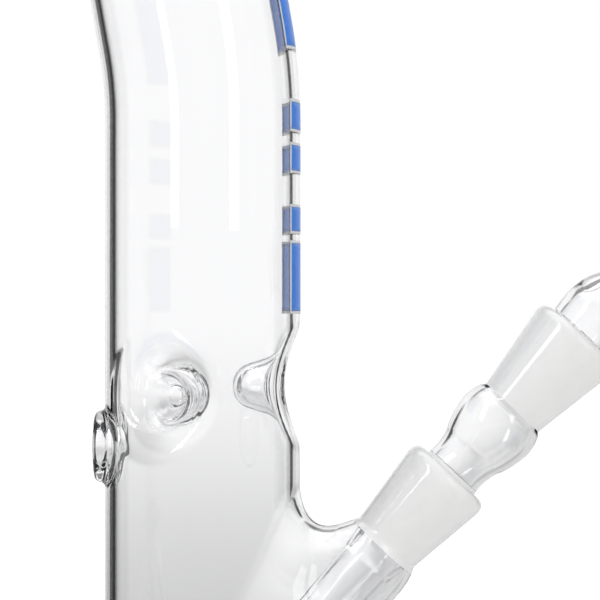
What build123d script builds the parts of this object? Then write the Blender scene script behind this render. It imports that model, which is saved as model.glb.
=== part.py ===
"""Clear borosilicate water pipe: straight chamber with ice pinches, bent neck, side arm with
ground joints, and a lift-off adapter and bowl. Millimetres, +Z up, origin at the centre of the
foot's underside, +X towards the side arm."""

import math
import os

from build123d import *

# Main tube
TUBE_R = 25.0
TUBE_WALL = 2.5
TUBE_INNER_R = TUBE_R - TUBE_WALL
BEND_START_Z = 197.0
BEND_RADIUS = 125.0
BEND_ANGLE = 10.0
NECK_LENGTH = 195.0

# Foot and mouth
FOOT_R = 55.0
FOOT_THICKNESS = 6.0
FOOT_EDGE_R = 2.4
COLLAR_R = 33.0
COLLAR_HEIGHT = 8.0
LIP_R = 28.6
LIP_HEIGHT = 8.6

# Ice pinches
PINCHES = ((0.0, 129.0), (120.0, 126.5), (240.0, 126.5))
PINCH_DEPTH = 17.3
PINCH_MOUTH_R = 14.2
PINCH_TIP_R = 5.8
PINCH_WALL = 1.8

# Carburettor hole
CARB_Z = 113.4
CARB_HOLE_R = 4.5
CARB_BOSS_R = 9.2
CARB_BOSS_PROUD = 2.6

# Side arm, measured along its own axis from the narrow end of its socket
ARM_ANGLE = 47.0
ARM_CROSS_Z = 38.0
ARM_REACH = 69.35
ARM_R = 11.5
ARM_BORE_R = 9.5
ARM_NECK_LENGTH = 10.0
ARM_WELD_R = 7.5

# Ground joints, 18.8 mm at the wide end, 1 in 10 on the diameter
JOINT_WIDE_R = 9.4
JOINT_TAPER = 1 / 20
JOINT_CLEARANCE = 0.10
ARM_SOCKET_LENGTH = 24.5
ARM_SOCKET_FOOT_R = 9.4
ARM_SOCKET_RIM_R = 12.4
ADAPTER_SOCKET_LENGTH = 25.7
ADAPTER_SOCKET_FOOT_R = 9.0
ADAPTER_SOCKET_RIM_R = 13.0
RIM_ROUND_R = 2.0
CONE_FREE_END = 1.5

# Inner stem
STEM_R = 7.2
STEM_BORE_R = 5.8
STEM_END = -77.4
STEM_SEAL_LENGTH = 2.0
STEM_SLIT_WIDTH = 1.2
STEM_SLIT_LENGTH = 14.0
STEM_SLIT_CUTS = 3

# Adapter
ADAPTER_NECK_R = 7.85
ADAPTER_WALL = 1.8
ADAPTER_BULB_R = 11.05
ADAPTER_BULB_AT = 16.2
ADAPTER_LENGTH = 22.7

# Bowl
BOWL_SHANK_R = 9.2
BOWL_SHANK_WALL = 1.9
BOWL_BULGE_R = 9.8
BOWL_BULGE_AT = 7.3
BOWL_WAIST_R = 6.2
BOWL_WAIST_AT = 18.0
BOWL_ROOT_STEP = 1.4
BOWL_CUP_BOTTOM = 22.0
BOWL_CUP_R = 17.0
BOWL_CUP_HEIGHT = 24.0
BOWL_CUP_WALL = 2.0
BOWL_DRAIN_R = 3.0
HANDLE_AT = 12.0
HANDLE_LEAN = 0.35
HANDLE_LENGTH = 24.0
HANDLE_ROOT_R = 3.6
HANDLE_TIP_R = 2.6
SCREEN_AT = 5.4
SCREEN_R = 7.0
SCREEN_THICKNESS = 0.5
SCREEN_HOLE_R = 0.7
SCREEN_RING_HOLES = 6

# Fired print on the chamber and neck
PRINT_THICKNESS = 0.15
PRINT_BORDER = 0.7
PRINT_NEAR_DEG = -24
PRINT_FAR_DEG = 22
PRINT_BARS = ((148.2, 165.4), (168.5, 174.6), (183.9, 190.3), (194.4, 200.6), (212.7, 245.0))


def smooth_line(*points):
    """A smooth outline through radius and height pairs."""
    return Spline(*[(radius, 0, height) for radius, height in points])


def straight_line(*points):
    """A straight-sided outline through radius and height pairs."""
    return Polyline(*[(radius, 0, height) for radius, height in points])


def turned(outer, inner):
    """A ring turned about Z from an outer and an inner outline, both drawn upwards."""
    bottom = Line(outer @ 0, inner @ 0)
    top = Line(outer @ 1, inner @ 1)
    section = make_face(outer.edges() + top.edges() + inner.edges() + bottom.edges())
    return revolve(section, Axis.Z)


def annulus(outer_r, inner_r):
    return Circle(outer_r) - Circle(inner_r)


def arm_place(distance):
    """The place on the side arm's axis at a distance from the narrow end of its socket."""
    lean = math.radians(ARM_ANGLE)
    along = ARM_REACH + distance
    centre = (along * math.cos(lean), 0, ARM_CROSS_Z + along * math.sin(lean))
    direction = (math.cos(lean), 0, math.sin(lean))
    return Plane(origin=centre, x_dir=(math.sin(lean), 0, -math.cos(lean)), z_dir=direction)


def neck_place(distance):
    """The place on the straight neck's axis at a distance above the end of the bend."""
    lean = math.radians(BEND_ANGLE)
    x = -BEND_RADIUS * (1 - math.cos(lean)) - distance * math.sin(lean)
    z = BEND_START_Z + BEND_RADIUS * math.sin(lean) + distance * math.cos(lean)
    across = (math.cos(lean), 0, math.sin(lean))
    upward = (-math.sin(lean), 0, math.cos(lean))
    return Plane(origin=(x, 0, z), x_dir=across, z_dir=upward)


def bend_axis():
    return Axis((-BEND_RADIUS, 0, BEND_START_Z), (0, -1, 0))


def pinch_form(depth, mouth_r, tip_r, start):
    """A rounded finger turned about Z, its open mouth at the start and its tip at the depth."""
    side = Spline(
        (mouth_r, 0, start),
        (mouth_r * 0.52 + tip_r * 0.48, 0, start + (depth - start) * 0.36),
        (tip_r, 0, depth - tip_r * 0.75),
        (0, 0, depth),
        tangents=[(-1, 0, 0.42), (-1, 0, 0)],
    )
    back = Line((mouth_r, 0, start), (0, 0, start))
    middle = Line((0, 0, start), (0, 0, depth))
    return revolve(make_face(side.edges() + back.edges() + middle.edges()), Axis.Z)


def pinch_place(azimuth, height):
    """A place on the tube's outside, pointing at the tube's axis."""
    turn = math.radians(azimuth)
    outward = (math.cos(turn), math.sin(turn), 0)
    origin = (TUBE_R * outward[0], TUBE_R * outward[1], height)
    return Plane(origin=origin, x_dir=(0, 0, 1), z_dir=(-outward[0], -outward[1], 0))


def chamber_tube():
    """The straight stretch of the main tube, with its pinches, carburettor hole and arm hole."""
    height = BEND_START_Z - FOOT_THICKNESS
    base = Location((0, 0, FOOT_THICKNESS))
    core = base * extrude(Circle(TUBE_INNER_R), height)
    tube = base * extrude(annulus(TUBE_R, TUBE_INNER_R), height)
    finger = pinch_form(PINCH_DEPTH, PINCH_MOUTH_R + 0.6, PINCH_TIP_R, 1.0)
    dent = pinch_form(PINCH_DEPTH - PINCH_WALL, PINCH_MOUTH_R, PINCH_TIP_R - PINCH_WALL, -0.8)
    for azimuth, height in PINCHES:
        place = pinch_place(azimuth, height)
        tube += (place * finger) & core
        tube -= place * dent
    carb = Location((-TUBE_R, 0, CARB_Z), (0, 90, 0)) * Cylinder(CARB_HOLE_R, 4 * TUBE_WALL)
    arm = arm_place(-ARM_REACH) * extrude(Circle(ARM_BORE_R), ARM_REACH)
    return tube - carb - arm


def neck_tube():
    """The bent and straight upper stretch of the main tube."""
    ring = Location((0, 0, BEND_START_Z)) * annulus(TUBE_R, TUBE_INNER_R)
    bend = revolve(ring, bend_axis(), BEND_ANGLE)
    neck = neck_place(0) * extrude(annulus(TUBE_R, TUBE_INNER_R), NECK_LENGTH)
    return bend + neck


def foot():
    """The round foot that closes the chamber, with a flared weld collar."""
    disc = extrude(Circle(FOOT_R), FOOT_THICKNESS)
    disc = fillet(disc.edges().filter_by(GeomType.CIRCLE), FOOT_EDGE_R)
    top = FOOT_THICKNESS + COLLAR_HEIGHT
    outer = smooth_line((COLLAR_R, FOOT_THICKNESS), (TUBE_R + 2.6, FOOT_THICKNESS + 2.6), (TUBE_R + 0.6, top))
    inner = straight_line((TUBE_R, FOOT_THICKNESS), (TUBE_R, top))
    return disc + turned(outer, inner)


def mouth_lip():
    """The rolled lip at the neck's mouth."""
    swell = ((LIP_R - 0.9, 2.2), (LIP_R, 4.6), (LIP_R - 1.3, 7.2))
    outer = smooth_line((TUBE_R, 0), *swell, (TUBE_R - 0.6, LIP_HEIGHT))
    inner = straight_line((TUBE_INNER_R, 0), (TUBE_INNER_R, LIP_HEIGHT - 1.6))
    return neck_place(NECK_LENGTH) * turned(outer, inner)


def carb_boss():
    """The raised ring around the carburettor hole, fitted to the tube's outside."""
    ring = extrude(annulus(CARB_BOSS_R, CARB_HOLE_R), CARB_BOSS_PROUD + TUBE_WALL)
    ring = fillet(ring.faces().sort_by(Axis.Z)[-1].edges(), CARB_BOSS_PROUD * 0.55)
    ring = Plane(origin=(-TUBE_R + TUBE_WALL, 0, CARB_Z), x_dir=(0, 0, 1), z_dir=(-1, 0, 0)) * ring
    return ring - Cylinder(TUBE_R, 2 * BEND_START_Z)


def side_arm():
    """The arm between the chamber and its socket, with a rounded weld."""
    foot_r = ARM_SOCKET_FOOT_R
    outer = smooth_line((ARM_R, -ARM_NECK_LENGTH), (ARM_R - 1.0, -ARM_NECK_LENGTH / 4), (foot_r, 0))
    blank = turned(outer, straight_line((0, -ARM_NECK_LENGTH), (0, 0)))
    root = Location((0, 0, ARM_R - ARM_REACH))
    blank += root * extrude(Circle(ARM_R), ARM_REACH - ARM_R - ARM_NECK_LENGTH)
    tube = Cylinder(TUBE_R, 4 * BEND_START_Z, rotation=(0, 0, 180))
    joined = tube + arm_place(0) * Rotation(0, 0, 90) * blank
    curved = [edge for edge in joined.edges() if edge.geom_type not in (GeomType.CIRCLE, GeomType.LINE)]
    seam = min(curved, key=lambda edge: edge.center().X)
    joined = fillet(seam, ARM_WELD_R)
    seal_r = JOINT_WIDE_R - ARM_SOCKET_LENGTH * JOINT_TAPER
    bore = Location((0, 0, -ARM_REACH)) * extrude(Circle(ARM_BORE_R), ARM_REACH - ARM_NECK_LENGTH)
    bore += turned(
        straight_line((ARM_BORE_R, -ARM_NECK_LENGTH), (seal_r, -STEM_SEAL_LENGTH), (seal_r, 0)),
        straight_line((0, -ARM_NECK_LENGTH), (0, 0)),
    )
    return joined - tube - arm_place(0) * bore


def socket(length, foot_r, rim_r):
    """A ground socket: its taper inside, its wall growing to a rounded rim."""
    inner_foot_r = JOINT_WIDE_R - length * JOINT_TAPER
    inner = straight_line((inner_foot_r, 0), (JOINT_WIDE_R, length))
    outer = straight_line((foot_r, 0), (rim_r, length))
    ring = turned(outer, inner)
    rim = ring.edges().filter_by(GeomType.CIRCLE).group_by(Axis.Z)[-1].sort_by(SortBy.RADIUS)[-1]
    return fillet(rim, RIM_ROUND_R)


def cone(length, shoulder_r, shank_bore_r):
    """A ground cone that fills a socket of the same length, with a bore and a rolled free end."""
    wide_r = JOINT_WIDE_R - JOINT_CLEARANCE
    free_r = wide_r - (length - CONE_FREE_END) * JOINT_TAPER
    wide_at = length - 1.2
    outer = straight_line(
        (free_r - 0.7, CONE_FREE_END),
        (free_r, CONE_FREE_END + 0.8),
        (wide_r - 1.2 * JOINT_TAPER, wide_at),
        (shoulder_r, length),
    )
    inner = straight_line((free_r - 2.0, CONE_FREE_END), (shank_bore_r, length))
    return turned(outer, inner)


def inner_stem():
    """The diffuser stem, sealed to the arm at its top and slit at its lower end."""
    seal_r = JOINT_WIDE_R - ARM_SOCKET_LENGTH * JOINT_TAPER
    outer = straight_line((STEM_R, STEM_END), (STEM_R, -6), (seal_r, -STEM_SEAL_LENGTH), (seal_r, 0))
    inner = straight_line((STEM_BORE_R, STEM_END), (STEM_BORE_R, -6), (seal_r - 1.6, 0))
    stem = turned(outer, inner)
    for number in range(STEM_SLIT_CUTS):
        slit = Box(4 * STEM_R, STEM_SLIT_WIDTH, STEM_SLIT_LENGTH)
        middle = STEM_END + 4 + STEM_SLIT_LENGTH / 2
        stem -= Location((0, 0, middle), (0, 0, number * 180 / STEM_SLIT_CUTS)) * slit
    return arm_place(0) * stem


def adapter_bulb():
    """The blown bulb between the adapter's cone and its socket."""
    outline = (
        (ADAPTER_NECK_R, 0),
        (ADAPTER_NECK_R, 3.6),
        (9.5, 9.3),
        (ADAPTER_BULB_R, ADAPTER_BULB_AT),
        (10.2, ADAPTER_LENGTH - 1.4),
        (ADAPTER_SOCKET_FOOT_R, ADAPTER_LENGTH),
    )
    outer = smooth_line(*outline)
    foot_bore_r = JOINT_WIDE_R - ADAPTER_SOCKET_LENGTH * JOINT_TAPER
    inner = smooth_line(
        *[(radius - ADAPTER_WALL, height) for radius, height in outline[:4]],
        (8.6, ADAPTER_LENGTH - 1.6),
        (foot_bore_r, ADAPTER_LENGTH),
    )
    return arm_place(ARM_SOCKET_LENGTH) * turned(outer, inner)


def bowl_start():
    """Distance along the arm's axis to the narrow end of the adapter's socket."""
    return ARM_SOCKET_LENGTH + ADAPTER_LENGTH


def bowl_rim():
    """Distance along the arm's axis to the rim of the adapter's socket."""
    return bowl_start() + ADAPTER_SOCKET_LENGTH


def bowl_neck():
    """The bowl's blown shank: a slight bulge, a waist and the root of the cup."""
    outline = (
        (BOWL_SHANK_R, 0),
        (BOWL_BULGE_R, BOWL_BULGE_AT),
        (BOWL_WAIST_R, BOWL_WAIST_AT),
        (BOWL_WAIST_R + BOWL_ROOT_STEP, BOWL_CUP_BOTTOM),
    )
    outer = smooth_line(*outline)
    inner = smooth_line(
        *[(radius - BOWL_SHANK_WALL, height) for radius, height in outline[:2]],
        (BOWL_DRAIN_R, BOWL_WAIST_AT),
        (BOWL_DRAIN_R, BOWL_CUP_BOTTOM),
    )
    return arm_place(bowl_rim()) * turned(outer, inner)


def cup_outline():
    root = (BOWL_WAIST_R + BOWL_ROOT_STEP, 0)
    return smooth_line(root, (12.0, 4.2), (15.4, 10.5), (BOWL_CUP_R, BOWL_CUP_HEIGHT - 2))


def cup_inside():
    rim = (BOWL_CUP_R - BOWL_CUP_WALL, BOWL_CUP_HEIGHT - 2)
    return smooth_line((BOWL_DRAIN_R, 0), (BOWL_DRAIN_R + 4.6, 4.0), (12.6, 11.0), rim)


def bowl_cup():
    """The bowl's funnel with a rolled rim."""
    wall = turned(cup_outline(), cup_inside())
    bead_r = BOWL_CUP_WALL / 2 + 0.3
    bead = Location((0, 0, BOWL_CUP_HEIGHT - bead_r)) * Torus(BOWL_CUP_R - BOWL_CUP_WALL / 2, bead_r)
    return arm_place(bowl_rim() + BOWL_CUP_BOTTOM) * (wall + bead)


def bowl_handle():
    """The solid glass peg for lifting the bowl, rooted on the cup's side."""
    peg = Cone(HANDLE_ROOT_R, HANDLE_TIP_R, HANDLE_LENGTH, align=(Align.CENTER, Align.CENTER, Align.MIN))
    peg += Location((0, 0, HANDLE_LENGTH)) * Sphere(HANDLE_TIP_R + 0.8)
    place = Plane(origin=(0, 0, HANDLE_AT), x_dir=(0, 0, 1), z_dir=(1, 0, HANDLE_LEAN))
    cup = turned(cup_outline(), straight_line((0, 0), (0, BOWL_CUP_HEIGHT - 2)))
    handle = place * Location((0, 0, HANDLE_AT)) * peg - cup
    return arm_place(bowl_rim() + BOWL_CUP_BOTTOM) * handle


def bowl_screen():
    """The loose pierced screen that rests on the funnel's floor."""
    screen = extrude(Circle(SCREEN_R), SCREEN_THICKNESS)
    screen -= Cylinder(SCREEN_HOLE_R, 4)
    for ring in (1, 2):
        holes = PolarLocations(ring * SCREEN_R / 3, SCREEN_RING_HOLES * ring)
        screen -= [place * Cylinder(SCREEN_HOLE_R, 4) for place in holes]
    return arm_place(bowl_rim() + BOWL_CUP_BOTTOM + SCREEN_AT) * screen


def print_patch(low, high, near, far, outer_r):
    """A curved patch on the main tube between two heights along its centreline."""
    middle = math.radians((near + far) / 2)
    half = math.radians((far - near) / 2)
    reach = 2 * outer_r
    wedge = make_face(
        Polyline(
            (0, 0),
            (reach * math.cos(middle - half), reach * math.sin(middle - half)),
            (reach * math.cos(middle + half), reach * math.sin(middle + half)),
            close=True,
        )
    )
    section = annulus(outer_r, TUBE_R) & wedge
    bend_length = BEND_RADIUS * math.radians(BEND_ANGLE)
    bend_end = BEND_START_Z + bend_length
    pieces = []
    if low < BEND_START_Z:
        top = min(high, BEND_START_Z)
        pieces.append(Location((0, 0, low)) * extrude(section, top - low))
    if high > BEND_START_Z and low < bend_end:
        start = max(low, BEND_START_Z) - BEND_START_Z
        stop = min(high, bend_end) - BEND_START_Z
        raised = Location((0, 0, BEND_START_Z)) * section
        raised = raised.rotate(bend_axis(), math.degrees(start / BEND_RADIUS))
        pieces.append(revolve(raised, bend_axis(), math.degrees((stop - start) / BEND_RADIUS)))
    if high > bend_end:
        start = max(low, bend_end) - bend_end
        pieces.append(neck_place(start) * extrude(section, high - bend_end - start))
    whole = pieces[0]
    for piece in pieces[1:]:
        whole += piece
    return whole


def print_bars():
    """The blue bars of the fired print."""
    outer_r = TUBE_R + PRINT_THICKNESS
    bars = [print_patch(low, high, PRINT_NEAR_DEG, PRINT_FAR_DEG, outer_r) for low, high in PRINT_BARS]
    return Compound(children=[solid for bar in bars for solid in bar.solids()])


def print_borders():
    """The pale border around each bar of the fired print."""
    outer_r = TUBE_R + PRINT_THICKNESS
    margin = math.degrees(PRINT_BORDER / TUBE_R)
    frames = []
    for low, high in PRINT_BARS:
        near, far = PRINT_NEAR_DEG - margin, PRINT_FAR_DEG + margin
        wide = print_patch(low - PRINT_BORDER, high + PRINT_BORDER, near, far, outer_r)
        frames.append(wide - print_patch(low, high, PRINT_NEAR_DEG, PRINT_FAR_DEG, outer_r + 1))
    return Compound(children=[solid for frame in frames for solid in frame.solids()])


def main():
    nodes = {
        "chamber_tube": chamber_tube(),
        "neck_tube": neck_tube(),
        "foot": foot(),
        "mouth_lip": mouth_lip(),
        "carb_boss": carb_boss(),
        "side_arm": side_arm(),
        "arm_socket": arm_place(0) * socket(ARM_SOCKET_LENGTH, ARM_SOCKET_FOOT_R, ARM_SOCKET_RIM_R),
        "inner_stem": inner_stem(),
        "adapter_cone": arm_place(0) * cone(ARM_SOCKET_LENGTH, ADAPTER_NECK_R, ADAPTER_NECK_R - ADAPTER_WALL),
        "adapter_bulb": adapter_bulb(),
        "adapter_socket": arm_place(bowl_start())
        * socket(ADAPTER_SOCKET_LENGTH, ADAPTER_SOCKET_FOOT_R, ADAPTER_SOCKET_RIM_R),
        "bowl_cone": arm_place(bowl_start())
        * cone(ADAPTER_SOCKET_LENGTH, BOWL_SHANK_R, BOWL_SHANK_R - BOWL_SHANK_WALL),
        "bowl_neck": bowl_neck(),
        "bowl_cup": bowl_cup(),
        "bowl_handle": bowl_handle(),
        "bowl_screen": bowl_screen(),
        "print_bars": print_bars(),
        "print_borders": print_borders(),
    }
    os.makedirs("parts", exist_ok=True)
    for name, shape in nodes.items():
        export_step(shape, f"parts/{name}.step")


main()
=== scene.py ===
"""Clear glass water pipe with ice pinches, a side arm with ground joints, an adapter and a bowl.

Shapes are worked out in millimetres and written in metres. The blown glass is a smooth field of
distances, so that the welds between tube, arm, ring and pinches are round.
"""

import math

import bmesh
import bpy
import numpy as np
import openvdb
from mathutils import Matrix, Vector


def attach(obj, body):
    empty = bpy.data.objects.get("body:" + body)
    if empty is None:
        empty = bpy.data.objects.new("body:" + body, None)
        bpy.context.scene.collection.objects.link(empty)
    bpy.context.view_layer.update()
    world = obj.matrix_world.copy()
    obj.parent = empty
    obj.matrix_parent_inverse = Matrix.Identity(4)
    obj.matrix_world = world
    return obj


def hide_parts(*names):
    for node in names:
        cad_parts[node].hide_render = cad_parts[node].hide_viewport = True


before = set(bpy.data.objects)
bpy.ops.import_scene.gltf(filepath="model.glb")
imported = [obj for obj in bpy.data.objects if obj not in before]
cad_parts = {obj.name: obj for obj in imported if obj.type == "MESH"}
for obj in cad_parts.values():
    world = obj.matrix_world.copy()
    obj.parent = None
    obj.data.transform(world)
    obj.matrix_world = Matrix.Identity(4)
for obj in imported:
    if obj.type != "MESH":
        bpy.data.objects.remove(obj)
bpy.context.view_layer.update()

MM = 0.001

# Main tube
TUBE_R = 25.0
INNER_R = 22.5
BEND_START = 197.0
BEND_RADIUS = 125.0
BEND_ANGLE = math.radians(10.0)
BEND_END = BEND_START + BEND_RADIUS * BEND_ANGLE
BEND_STATIONS = 13
NECK_LENGTH = 195.0
NECK_END = BEND_END + NECK_LENGTH
NECK_STATIONS = 9
RING_SEGMENTS = 192

# The part of the pipe that is worked out as a field, between two heights
BLOWN_LOW = 22.0
BLOWN_HIGH = 166.0
BLOWN_MARGIN = 2.5
BLOWN_X = (-31.0, 76.0)
BLOWN_Y = 30.0
PIPE_VOXEL = 0.62
CUT_SLACK = 0.02
EDGE_ROUND = 1.0

# Rolled lip: radius, and height above the neck's end
LIP_R = 28.4
LIP = (
    (TUBE_R, 0.0),
    (TUBE_R + 1.6, 1.2),
    (LIP_R - 0.4, 2.8),
    (LIP_R, 4.6),
    (LIP_R - 0.9, 6.8),
    (TUBE_R + 0.4, 8.3),
    (TUBE_R - 1.6, 8.0),
    (INNER_R, 5.6),
)

# Foot: radius and height of its weld to the tube, then its edge, underside and floor
FOOT_R = 55.0
FOOT_THICKNESS = 6.0
FOOT_WELD = (
    (TUBE_R, 15.0),
    (TUBE_R + 0.5, 12.4),
    (TUBE_R + 2.4, 9.2),
    (TUBE_R + 6.0, 6.9),
    (TUBE_R + 10.0, FOOT_THICKNESS),
)
FOOT_EDGE = 2.4
FOOT_EDGE_STEPS = 13
UNDERSIDE_RINGS = (44.0, 30.0, 16.0, 4.0)
FLOOR_TOP = 6.2
FLOOR_CORNER = 3.0
FLOOR_CORNER_STEPS = 8
FLOOR_RINGS = (12.0, 4.0)

# Pinches: azimuth in degrees and height
PINCHES = ((0.0, 129.0), (120.0, 126.5), (240.0, 126.5))
PINCH_MOUTH_R = 9.9
PINCH_TIP_R = 5.9
PINCH_MOUTH_DEPTH = -2.0
PINCH_TIP_DEPTH = 11.4
PINCH_WALL = 1.85
PINCH_ROUND = 9.0
DENT_WALL = PINCH_WALL - 0.4
DENT_THINS_WITHIN = 7.0

# Carburettor hole
CARB_Z = 113.4
CARB_HOLE_R = 4.5
CARB_HOLE_END_X = -12.0
CARB_HOLE_ROUND = 1.2
CARB_RING_R = 6.85
CARB_RING_HALF_WIDTH = 2.35
CARB_RING_HALF_HEIGHT = 2.75
CARB_RING_ROUND = 1.7
CARB_RING_WELD = 1.6

# Side arm, measured along its axis from the narrow end of its socket
ARM_LEAN = math.radians(47.0)
ARM_CROSS_Z = 38.0
ARM_REACH = 69.35
ARM_ROOT = 8.0
ARM_R = 11.5
ARM_NARROWS_OVER = 3.5
ARM_WALL = 1.5
ARM_WALL_WITHIN = 14.0
ARM_BEYOND_X = 30.0
SEAL_WALL = 1.22
SEAL_LENGTH = 8.0
WELD_ROUND = 16.4
WELD_MIDDLE = 0.78
WELD_SWING = 0.22
WELD_SWING_OVER = 8.0

# Ground joints
JOINT_WIDE_R = 9.4
JOINT_GAP = 0.10
TAPER = 1 / 20
TAPER_ROOT = 1.0
TAPER_ROUND = 0.4
SOCKET_LENGTH = 24.5
SOCKET_FOOT_R = 9.4
SOCKET_RIM_R = 12.4
SOCKET_RIM_ROUND = 4.0
UPPER_SOCKET_LENGTH = 25.7
UPPER_FOOT_R = 9.0
UPPER_RIM_R = 13.0
CONE_END = 1.5
CONE_WALL = 2.0

# Where the milky parts start and end along each socket and cone
MILKY_FROM = -1.6
UPPER_MILKY_FROM = -0.3
MILKY_PAST_RIM = 2.0
SKIN_OVER_BORE = 0.6
SKIN_REACH = 14.0
CONE_MILKY_FROM = 2.2
SHOULDER_LENGTH = 2.0
SHOULDER_R = 7.0

# Adapter: radius and height above the lower socket of its bulb
BULB_LENGTH = 22.7
BULB_WALL = 1.75
BULB = (
    (7.85, 0.6),
    (7.85, 3.6),
    (8.5, 7.0),
    (9.5, 9.3),
    (10.4, 12.3),
    (11.05, 16.2),
    (10.75, 19.3),
    (10.0, 21.6),
)
ADAPTER_SEGMENTS = 128

# Bowl, measured from the upper socket's narrow end; its shank and shank bore from the socket's rim
BOWL_START = SOCKET_LENGTH + BULB_LENGTH
BOWL_RIM = BOWL_START + UPPER_SOCKET_LENGTH
BOWL_ROOT_R = 9.2
CUP_START = UPPER_SOCKET_LENGTH + 22.0
SHANK = ((BOWL_ROOT_R, 0.0), (9.65, 4.0), (9.75, 7.3), (8.9, 12.0), (6.9, 16.4), (6.5, 19.0))
CUP = ((7.9, 0.0), (12.0, 4.2), (15.3, 10.5), (16.8, 17.0), (17.0, 21.0))
CUP_INSIDE = ((14.9, 20.0), (13.9, 14.0), (11.6, 9.0), (7.4, 4.4), (3.6, 1.2), (3.0, -1.0))
SHANK_INSIDE = ((3.0, 17.5), (5.2, 13.0), (7.6, 8.0), (7.6, 3.0), (7.1, -3.0))
CUP_RIM_R = 16.0
CUP_RIM_HEIGHT = 22.5
CUP_RIM_ROUND = 1.4
BOWL_LOW = (-18.6, -18.6, 0.6)
BOWL_HIGH = (42.0, 18.6, CUP_START + 28)
BOWL_VOXEL = 0.5

# Lifting peg on the cup
PEG_START = (15.6, 0.0, CUP_START + 15.8)
PEG_RISE = 0.35
PEG_ROOT_R = 3.4
PEG_TIP_R = 2.5
PEG_LENGTH = 19.0
PEG_CLEAR_R = 15.9
PEG_WELD = 2.4
KNOB_AT = 19.5
KNOB_R = 3.3
KNOB_ROUND = 2.0

# Inner stem
STEM_R = 7.2
STEM_BORE_R = 5.8
STEM_END = -77.4
STEM_SEAL_GAP = 0.12
STEM_SEAL_WALL = 1.5
STEM_TOP = -0.15
STEM_SEGMENTS = 96
SLIT_COUNT = 3
SLIT_SIZE = (30.0, 1.2, 14.0)
SLIT_FROM_END = 4.0
SLIT_ROUND = 0.04

# Print
PRINT_SUNK = 0.12
PRINT_PROUD = 0.13
PRINT_BORDER = 0.7
PRINT_BORDER_PROUD = PRINT_PROUD * 0.8
PRINT_NEAR = math.radians(-24.0)
PRINT_FAR = math.radians(22.0)
PRINT_BARS = ((148.2, 165.4), (168.5, 174.6), (183.9, 190.3), (194.4, 200.6), (212.7, 245.0))
PRINT_ROW_STEP = 1.2
PRINT_COLUMN_STEP = 0.8

ARM_AXIS = np.array((math.cos(ARM_LEAN), 0.0, math.sin(ARM_LEAN)))
ARM_ORIGIN = np.array((0.0, 0.0, ARM_CROSS_Z)) + ARM_REACH * ARM_AXIS


# ---------------------------------------------------------------- smooth fields


def smooth_min(a, b, blend):
    """The lesser of two fields, rounded where they meet."""
    near = np.maximum(blend - np.abs(a - b), 0) / blend
    return np.minimum(a, b) - near * near * blend / 4


def smooth_max(a, b, blend):
    """The greater of two fields, rounded where they meet."""
    return -smooth_min(-a, -b, blend)


def round_min(a, b, radius):
    """The union of two fields with a fillet between them."""
    u = np.maximum(radius - a, 0)
    v = np.maximum(radius - b, 0)
    return np.maximum(radius, np.minimum(a, b)) - np.sqrt(u * u + v * v)


def round_max(a, b, radius):
    """The overlap of two fields with its edge rounded off."""
    return -round_min(-a, -b, radius)


def round_cone(points, start, direction, radius_1, radius_2, length):
    """Distance to a cone whose two ends are spheres."""
    offset = points - start
    along = offset @ direction
    across = np.sqrt(np.maximum((offset**2).sum(-1) - along**2, 0))
    slope = (radius_1 - radius_2) / length
    side = math.sqrt(1 - slope * slope)
    key = -slope * across + side * along
    first = np.hypot(across, along) - radius_1
    last = np.hypot(across, along - length) - radius_2
    middle = side * across + slope * along - radius_1
    return np.where(key < 0, first, np.where(key > side * length, last, middle))


def pinch_field(points, azimuth, height):
    """Distance to one pinch's finger, smaller all round by the pinch's wall."""
    turn = math.radians(azimuth)
    outward = np.array((math.cos(turn), math.sin(turn), 0.0))
    start = (TUBE_R - PINCH_MOUTH_DEPTH) * outward + np.array((0, 0, height))
    length = PINCH_TIP_DEPTH - PINCH_MOUTH_DEPTH
    mouth_r = PINCH_MOUTH_R - PINCH_WALL
    tip_r = PINCH_TIP_R - PINCH_WALL
    return round_cone(points, start, -outward, mouth_r, tip_r, length)


def arm_coordinates(points):
    """Distance along the arm from its socket's narrow end, distance from its axis, height over it."""
    offset = points - ARM_ORIGIN
    along = offset @ ARM_AXIS
    above = offset @ np.array((-math.sin(ARM_LEAN), 0, math.cos(ARM_LEAN)))
    across = np.hypot(above, points[..., 1])
    return along, across, above


def joint_r(along, length):
    """Radius of the ground taper at a distance from the socket's narrow end."""
    return JOINT_WIDE_R - (length - along) * TAPER


def dented_tube(points):
    """Field of the tube's outer skin with its pinches, and the wall's thickness behind it."""
    skin = np.hypot(points[..., 0], points[..., 1]) - TUBE_R
    wall = np.full(skin.shape, TUBE_R - INNER_R)
    for azimuth, height in PINCHES:
        dent = pinch_field(points, azimuth, height)
        skin = round_max(skin, -dent, PINCH_ROUND)
        near = np.clip((DENT_THINS_WITHIN - dent) / DENT_THINS_WITHIN, 0, 1) ** 2
        wall = wall + (DENT_WALL - wall) * near
    return skin, wall


def sealed_arm(points):
    """Field of the arm's outer skin up to its socket, and the weld's rounding against the tube."""
    along, across, above = arm_coordinates(points)
    narrowing = np.exp(np.minimum(along, 0) / ARM_NARROWS_OVER)
    arm = across - ARM_R + (ARM_R - SOCKET_FOOT_R) * narrowing
    arm = np.maximum(arm, -(along + ARM_REACH - ARM_ROOT))
    return arm, WELD_ROUND * (WELD_MIDDLE + WELD_SWING * np.tanh(above / WELD_SWING_OVER))


def weld_slope(points, skin, arm, round_r):
    """How fast the weld's field grows, where the tube's and the arm's skins meet at an angle."""
    tiny = 0.01
    least = 0.2
    _, across, above = arm_coordinates(points)
    x, y = points[..., 0], points[..., 1]
    lengths = np.maximum(np.hypot(x, y) * across, tiny)
    turn = (y * y - math.sin(ARM_LEAN) * above * x) / lengths
    u = np.maximum(round_r - skin, 0)
    v = np.maximum(round_r - arm, 0)
    return np.sqrt(np.clip(1 + 2 * turn * u * v / np.maximum(u * u + v * v, tiny), least, 1))


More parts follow.
